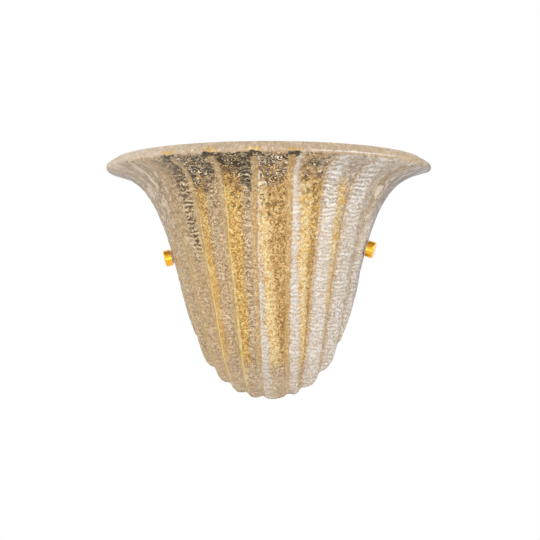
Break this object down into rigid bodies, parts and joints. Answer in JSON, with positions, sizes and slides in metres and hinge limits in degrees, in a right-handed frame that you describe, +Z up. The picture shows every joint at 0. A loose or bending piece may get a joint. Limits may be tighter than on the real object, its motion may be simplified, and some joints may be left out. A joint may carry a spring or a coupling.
{
  "type": "wall sconce",
  "caption": "Half-trumpet wall uplighter: a thick fluted glass shade with a flared lip, held to a gold metal wall plate by a brass thumbscrew each side.",
  "frame": {"origin": "on the wall, at the middle of the wall plate's back face, halfway up the glass", "axes": "+Z up, -Y out of the wall, +X to the right of someone facing the light"},
  "size_m": [0.3318, 0.166, 0.2429],
  "materials": {
    "shade_glass": "thick granular amber-veined glass",
    "gold_sheet": "bright gold-lacquered sheet",
    "rivet_brass": "polished brass",
    "knob_brass": "polished, gold-lacquered brass",
    "shank_brass": "plain brass rod",
    "terminal_brass": "plain brass",
    "washer_nylon": "natural nylon",
    "pad_rubber": "translucent silicone",
    "grommet_rubber": "black rubber",
    "block_plastic": "white moulded plastic",
    "holder_plastic": "white moulded plastic",
    "screw_steel": "zinc plated steel",
    "tinned_tag": "tinned copper",
    "nipple_steel": "zinc plated steel",
    "lamp_solder": "solder",
    "lamp_cap_metal": "nickel plated cap",
    "lamp_opal": "opal glass",
    "lead_brown": "silicone insulation",
    "lead_blue": "silicone insulation",
    "lead_green": "silicone insulation"
  },
  "bodies": {
    "wall_fixture": {"glass_shade": "shade_glass", "wall_plate": "gold_sheet", "cable_grommet": "grommet_rubber", "lamp_shelf": "gold_sheet", "shelf_rivets": "rivet_brass", "terminal_block": "block_plastic", "terminal_clamps": "terminal_brass", "terminal_screws": "screw_steel", "earth_screw": "screw_steel", "earth_tag": "tinned_tag", "live_lead": "lead_brown", "neutral_lead": "lead_blue", "live_link": "lead_brown", "neutral_link": "lead_blue", "earth_lead": "lead_green", "left_pad": "pad_rubber", "left_nut": "terminal_brass", "left_bracket": "gold_sheet", "left_rivets": "rivet_brass", "left_holder": "holder_plastic", "left_sleeve": "terminal_brass", "left_tongue": "terminal_brass", "left_nipple": "nipple_steel", "left_nipple_nut": "nipple_steel", "right_pad": "pad_rubber", "right_nut": "terminal_brass", "right_bracket": "gold_sheet", "right_rivets": "rivet_brass", "right_holder": "holder_plastic", "right_sleeve": "terminal_brass", "right_tongue": "terminal_brass", "right_nipple": "nipple_steel", "right_nipple_nut": "nipple_steel"},
    "left_screw_washer": {"left_washer": "washer_nylon"},
    "left_thumbscrew": {"left_knob": "knob_brass", "left_screw": "shank_brass"},
    "left_lamp_contact": {"left_lamp_button": "lamp_solder"},
    "left_lamp": {"left_lamp_cap": "lamp_cap_metal", "left_lamp_glass": "lamp_opal"},
    "right_screw_washer": {"right_washer": "washer_nylon"},
    "right_thumbscrew": {"right_knob": "knob_brass", "right_screw": "shank_brass"},
    "right_lamp_contact": {"right_lamp_button": "lamp_solder"},
    "right_lamp": {"right_lamp_cap": "lamp_cap_metal", "right_lamp_glass": "lamp_opal"}
  },
  "joints": [
    {"name": "left_screw_travel", "type": "slide", "parent": "wall_fixture", "child": "left_screw_washer", "axis": [-0.9545, -0.1564, -0.254], "range_m": [0, 0.0064]},
    {"name": "left_screw_turn", "type": "hinge", "parent": "left_screw_washer", "child": "left_thumbscrew", "pos_m": [-0.09762, -0.01124, 0.0134], "axis": [-0.9545, -0.1564, -0.254], "range_deg": [0, 2880]},
    {"name": "left_lamp_travel", "type": "slide", "parent": "wall_fixture", "child": "left_lamp_contact", "axis": [0, 0, 1], "range_m": [0, 0.00846]},
    {"name": "left_lamp_turn", "type": "hinge", "parent": "left_lamp_contact", "child": "left_lamp", "pos_m": [-0.028, -0.028, -0.04], "axis": [0, 0, 1], "range_deg": [0, 1080]},
    {"name": "right_screw_travel", "type": "slide", "parent": "wall_fixture", "child": "right_screw_washer", "axis": [0.9492, -0.1564, -0.273], "range_m": [0, 0.0064]},
    {"name": "right_screw_turn", "type": "hinge", "parent": "right_screw_washer", "child": "right_thumbscrew", "pos_m": [0.09982, -0.01213, 0.0218], "axis": [0.9492, -0.1564, -0.273], "range_deg": [0, 2880]},
    {"name": "right_lamp_travel", "type": "slide", "parent": "wall_fixture", "child": "right_lamp_contact", "axis": [0, 0, 1], "range_m": [0, 0.00846]},
    {"name": "right_lamp_turn", "type": "hinge", "parent": "right_lamp_contact", "child": "right_lamp", "pos_m": [0.028, -0.028, -0.04], "axis": [0, 0, 1], "range_deg": [0, 1080]}
  ],
  "couplings": [
    {"joint": "left_screw_turn", "follows": "left_screw_travel", "rad_per_m": 7854},
    {"joint": "left_lamp_turn", "follows": "left_lamp_travel", "rad_per_m": 2228.1},
    {"joint": "right_screw_turn", "follows": "right_screw_travel", "rad_per_m": 7854},
    {"joint": "right_lamp_turn", "follows": "right_lamp_travel", "rad_per_m": 2228.1}
  ]
}
